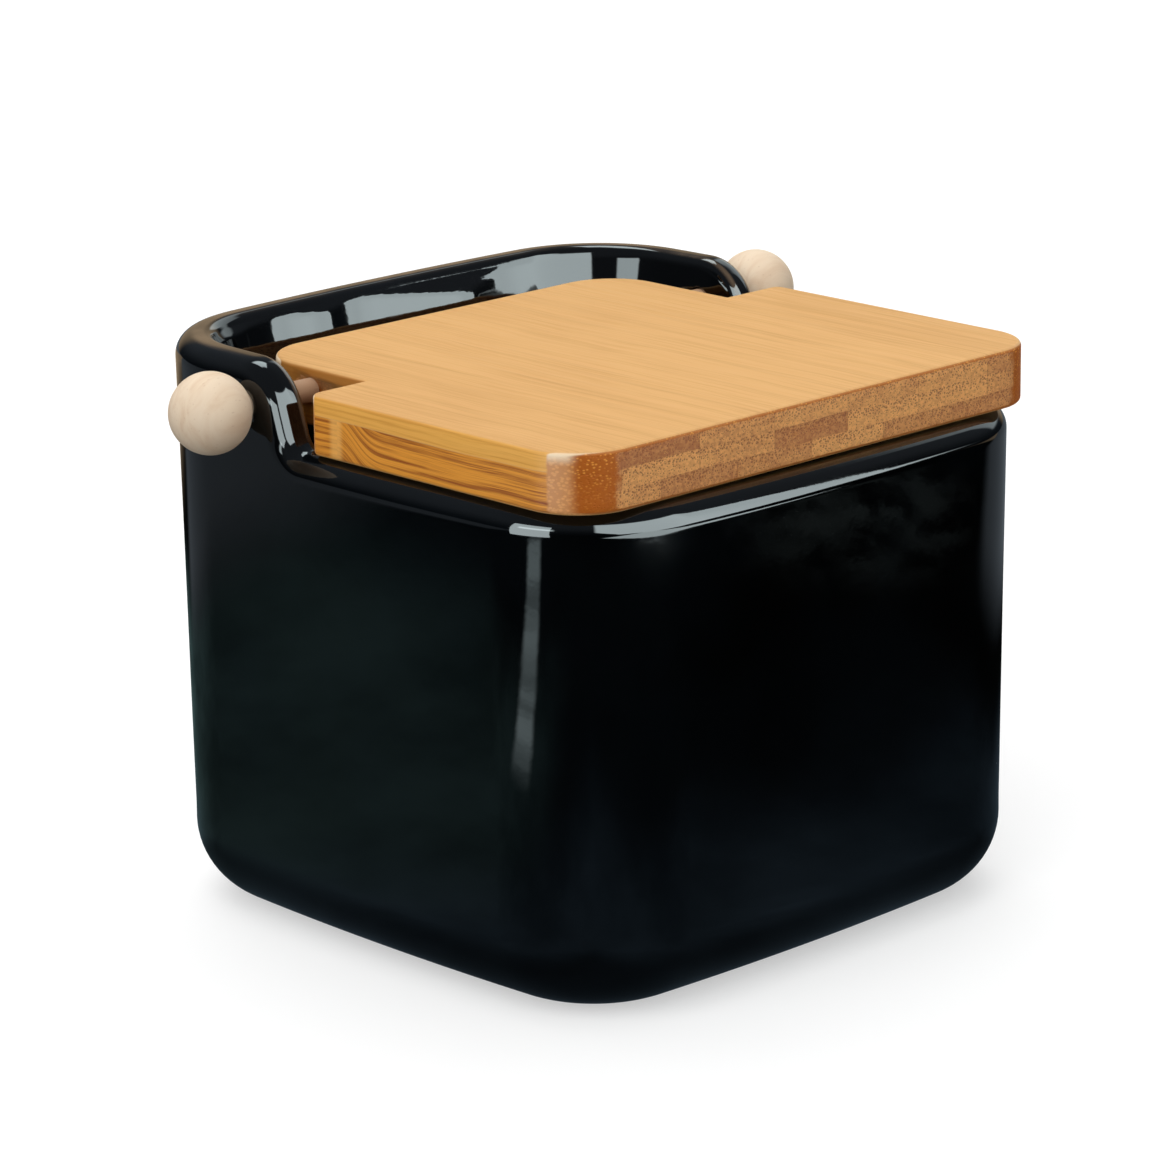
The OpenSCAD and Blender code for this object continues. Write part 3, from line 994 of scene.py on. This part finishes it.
def window(n, azimuth, elevation, box, blur=BOX_BLUR):
    """1 inside a softbox's outline and 0 outside it, with blurred edges."""
    (a0, a1), (e0, e1) = box
    return n.times(
        n.rise(azimuth, a0 - blur, a0 + blur), n.fall(azimuth, a1 - blur, a1 + blur),
        n.rise(elevation, e0 - blur, e0 + blur), n.fall(elevation, e1 - blur, e1 + blur))


def big_window(n, azimuth, elevation):
    """The biggest softbox's strength in a direction, 0 outside its outline."""
    def past(value, edge):
        return n.rise(n.minus(value, edge), -BOX_BLUR, BOX_BLUR)

    top = n.math("MINIMUM", n.rise(azimuth, *BIG_TOP), n.rise(azimuth, *BIG_CUT))
    return n.times(past(azimuth, n.rise(elevation, *BIG_LEFT)), n.fall(azimuth, *BIG_RIGHT),
                   past(elevation, n.rise(azimuth, *BIG_FOOT)), past(top, elevation),
                   n.rise(azimuth, *BIG_SHARE))


def make_world():
    """White for the camera, an even fill for matte surfaces, and for gloss the studio round the
    object: softboxes in front, at the sides and above, a dim ceiling and a warm wall behind."""
    world = bpy.data.worlds.new("studio")
    bpy.context.scene.world = world
    world.use_nodes = True
    n = Nodes(world.node_tree)
    x, y, z = n.split(n.node("ShaderNodeTexCoord").outputs["Generated"])
    azimuth = n.times(n.math("ARCTAN2", x, n.times(y, -1.0)), 180 / math.pi)
    elevation = n.times(n.math("ARCSINE", z), 180 / math.pi)

    studio = n.mix(n.rise(elevation, *CEILING), STUDIO_DARK, STUDIO_HIGH)
    warm = n.times(n.rise(behind(n, x, y), *WARM_WALL_SIDES), n.fall(elevation, *WARM_WALL_TOP))
    studio = n.mix(warm, studio, STUDIO_WARM)

    big = big_window(n, azimuth, elevation)
    left = window(n, azimuth, elevation, LEFT_BOX)
    above = window(n, azimuth, elevation, ABOVE_BOX, WIDE_BLUR)
    edge = n.times(window(n, azimuth, elevation, EDGE_BOX, WIDE_BLUR), EDGE_BOX_SHARE)
    boxes = n.times(n.add(big, left, above, edge), SOFTBOX_POWER)

    room = n.shader("Background", Color=studio, Strength=1.0)
    mirrored = n.add_shaders(n.shader("Background", Color=SOFTBOX, Strength=boxes), room)
    fill = n.shader("Background", Color=WHITE, Strength=SKY_FILL)
    white = n.shader("Background", Color=WHITE, Strength=1.0)
    glossy, seen = n.rays()
    result = n.mix_shaders(seen, n.mix_shaders(glossy, fill, mirrored), white)
    n.node("ShaderNodeOutputWorld", {"Surface": result})


# ---------------------------------------------------------------- the floor
FLOOR_SIZE = 6
FLOOR_ALBEDO = 0.26
FLOOR_SEEN_ALBEDO = 0.55
FLOOR_GLOW = 0.505

# What gloss sees of the floor. A pair is where something fades in or out, in mm.
FLOOR_NEAR = (0.070, 0.105, 0.140, 1)
FLOOR_FAR = (0.005, 0.006, 0.006, 1)
FLOOR_LEFT = (0.058, 0.100, 0.100, 1)
FLOOR_EDGE = (0.150, 0.175, 0.200, 1)
FLOOR_HAZE = (0.110, 0.135, 0.135, 1)
FLOOR_STRIP = (1.30, 1.60, 1.65, 1)
FLOOR_BOX = (5.1, 5.9, 6.0, 1)
# Painted shadow close round the pot, in what gloss sees of the floor
CONTACT_PAINTED_SHADOW = (0.0, 22.0, 0.7, 0.0)
NEAR_REACH = (20.0, 115.0)
LEFT_SIDE = (60.0, 170.0)
LEFT_REACH = (130.0, 230.0)
RIGHT_SHADE = (15.0, 85.0, 1.0, 0.45)
WALL_AWAY = (230.0, 420.0)
RIGHT_EDGE_X = (190.0, 280.0)
RIGHT_EDGE_Y = (-190.0, -120.0)
BACK_EDGE_X = (-40.0, 0.0)
BACK_EDGE_Y = (190.0, 280.0)
HAZE_AT = (215.0, -255.0)
HAZE_REACH = (10.0, 80.0)
LIGHT_STRIP_Y = 45.7
LIGHT_STRIP_SLOPE = 0.293
LIGHT_STRIP_HALF = 12.0
LIGHT_STRIP_TAPER = -0.036
LIGHT_STRIP_WAVE = 6.0
LIGHT_STRIP_NEAR_X = (-205.0, -170.0)
LIGHT_STRIP_FAR_X = (-420.0, -350.0)
BOX_FRONT_Y = (-360.0, -344.0)
BOX_MIDDLE_X = 20.0
BOX_HALF = (285.0, 300.0)
BOX_WAVE = 10.0


def light_strip(n, x, y, mottle):
    """A bright strip on the floor at the left, with wavering edges and uneven along its length."""
    slope = n.times(x, -LIGHT_STRIP_SLOPE)
    waver = n.times(n.add(mottle, -1.0), LIGHT_STRIP_WAVE)
    middle = n.add(y, -LIGHT_STRIP_Y, slope, waver)
    half = n.add(LIGHT_STRIP_HALF, n.times(x, LIGHT_STRIP_TAPER))
    beside = n.math("DIVIDE", n.abs(middle), half)
    dim = n.rise(n.noise(n.vector(n.times(x, 0.035), 0.0, 0.0), 1.0, 2), 0.35, 0.6, 0.30, 1.0)
    ends = n.times(n.fall(x, *LIGHT_STRIP_NEAR_X), n.rise(x, *LIGHT_STRIP_FAR_X))
    return n.times(n.fall(beside, 0.7, 1.4), ends, dim)


def floor_in_gloss(n, where):
    """The floor that gloss sees, painted as glow: a painted pool of bluish light by the pot, darker
    further off and on the right, with a painted shadow close round the pot, a warm wall behind,
    paler far edges, some haze, a bright strip and a softbox in front."""
    x, y = n.split(where)[:2]
    away = n.add(n.math("MAXIMUM", n.abs(x), n.abs(y)), -POT_W / 2)
    # Painted pool of light: what gloss sees of the floor is bright and bluish by the pot and dark
    # further off.
    colour = n.mix(n.rise(away, *NEAR_REACH), FLOOR_NEAR, FLOOR_FAR)
    left = n.mix(n.rise(away, *LEFT_REACH), FLOOR_LEFT, FLOOR_FAR)
    colour = n.mix(n.rise(n.minus(y, x), *LEFT_SIDE), colour, left)
    mottle = n.rise(n.noise(where, 0.012, 4, 0.6), 0.3, 0.7, 0.65, 1.45)
    shade = n.times(mottle, n.rise(x, *RIGHT_SHADE))
    colour = n.mix(1.0, colour, n.grey(shade), "MULTIPLY")
    # Painted shadow: close round the pot, what gloss sees of the floor is darkened again.
    colour = n.mix(n.rise(away, *CONTACT_PAINTED_SHADOW), colour, FLOOR_FAR)
    colour = n.mix(n.rise(behind(n, x, y), *WALL_AWAY), colour, STUDIO_WARM)

    right_edge = n.times(n.rise(x, *RIGHT_EDGE_X), n.rise(y, *RIGHT_EDGE_Y))
    back_edge = n.times(n.rise(y, *BACK_EDGE_Y), n.fall(x, *BACK_EDGE_X))
    colour = n.mix(n.math("MAXIMUM", right_edge, back_edge), colour, FLOOR_EDGE)
    clouds = n.rise(n.noise(where, 0.05, 4, 0.65), 0.40, 0.62)
    haze = n.times(n.fall(n.distance(x, y, HAZE_AT), *HAZE_REACH), clouds)
    colour = n.mix(haze, colour, FLOOR_HAZE)
    colour = n.mix(light_strip(n, x, y, mottle), colour, FLOOR_STRIP)

    ahead = n.add(y, n.times(n.noise(where, 0.02, 2), BOX_WAVE))
    aside = n.abs(n.add(x, -BOX_MIDDLE_X))
    box = n.times(n.fall(ahead, *BOX_FRONT_Y), n.fall(aside, *BOX_HALF))
    return n.mix(box, colour, FLOOR_BOX)


def make_floor():
    """A white floor that keeps the object's shadow. Gloss sees the studio's floor instead."""
    bm = bmesh.new()
    bmesh.ops.create_grid(bm, x_segments=8, y_segments=8, size=FLOOR_SIZE / 2 / MM)
    floor = new_object("floor", bm)
    material, n, where = new_material("white_floor")
    mirrored = n.shader("Emission", Color=floor_in_gloss(n, where), Strength=1.0)
    glossy, seen = n.rays()
    albedo = n.add(FLOOR_ALBEDO, n.times(seen, FLOOR_SEEN_ALBEDO - FLOOR_ALBEDO))
    painted = n.shader("BsdfDiffuse", Color=n.grey(albedo))
    glow = n.shader("Emission", Color=WHITE, Strength=n.times(seen, FLOOR_GLOW))
    result = n.mix_shaders(glossy, n.add_shaders(painted, glow), mirrored)
    n.node("ShaderNodeOutputMaterial", {"Surface": result})
    floor.data.materials.append(material)


# ---------------------------------------------------------------- lights
# Soft suns for matte surfaces, as (name, degrees round from the front, degrees up, strength)
SUNS = (("key", -70, 44, 0.48), ("top", 146, 62, 0.36))
SUN_SPREAD = math.radians(60)

# The small softbox at the left, in mm, and its power in watts
CARD_AT = Vector((-160, -41, 102))
CARD_SIZE = (66, 84)
CARD_POWER = 0.125


def make_sun(name, azimuth, elevation, strength):
    """A soft sun that gloss doesn't see."""
    data = bpy.data.lights.new(name, "SUN")
    data.energy = strength * math.pi
    data.angle = SUN_SPREAD
    sun = bpy.data.objects.new(name, data)
    a, e = math.radians(azimuth), math.radians(elevation)
    towards = Vector((math.sin(a) * math.cos(e), -math.cos(a) * math.cos(e), math.sin(e)))
    sun.rotation_euler = towards.to_track_quat("Z", "Y").to_euler()
    sun.visible_glossy = False
    bpy.context.scene.collection.objects.link(sun)


def make_card():
    """A small softbox that only gloss sees."""
    data = bpy.data.lights.new("left_card", "AREA")
    data.shape = "RECTANGLE"
    data.size, data.size_y = (side * MM for side in CARD_SIZE)
    data.energy = CARD_POWER
    data.color = SOFTBOX[:3]
    card = bpy.data.objects.new("left_card", data)
    card.location = CARD_AT * MM
    card.rotation_euler = Vector((-1, 0, 0)).to_track_quat("Z", "Y").to_euler()
    card.visible_camera = False
    card.visible_diffuse = False
    bpy.context.scene.collection.objects.link(card)


make_world()
make_floor()
make_card()
for name, azimuth, elevation, strength in SUNS:
    make_sun(name, azimuth, elevation, strength)
bpy.context.scene.view_settings.view_transform = "Standard"
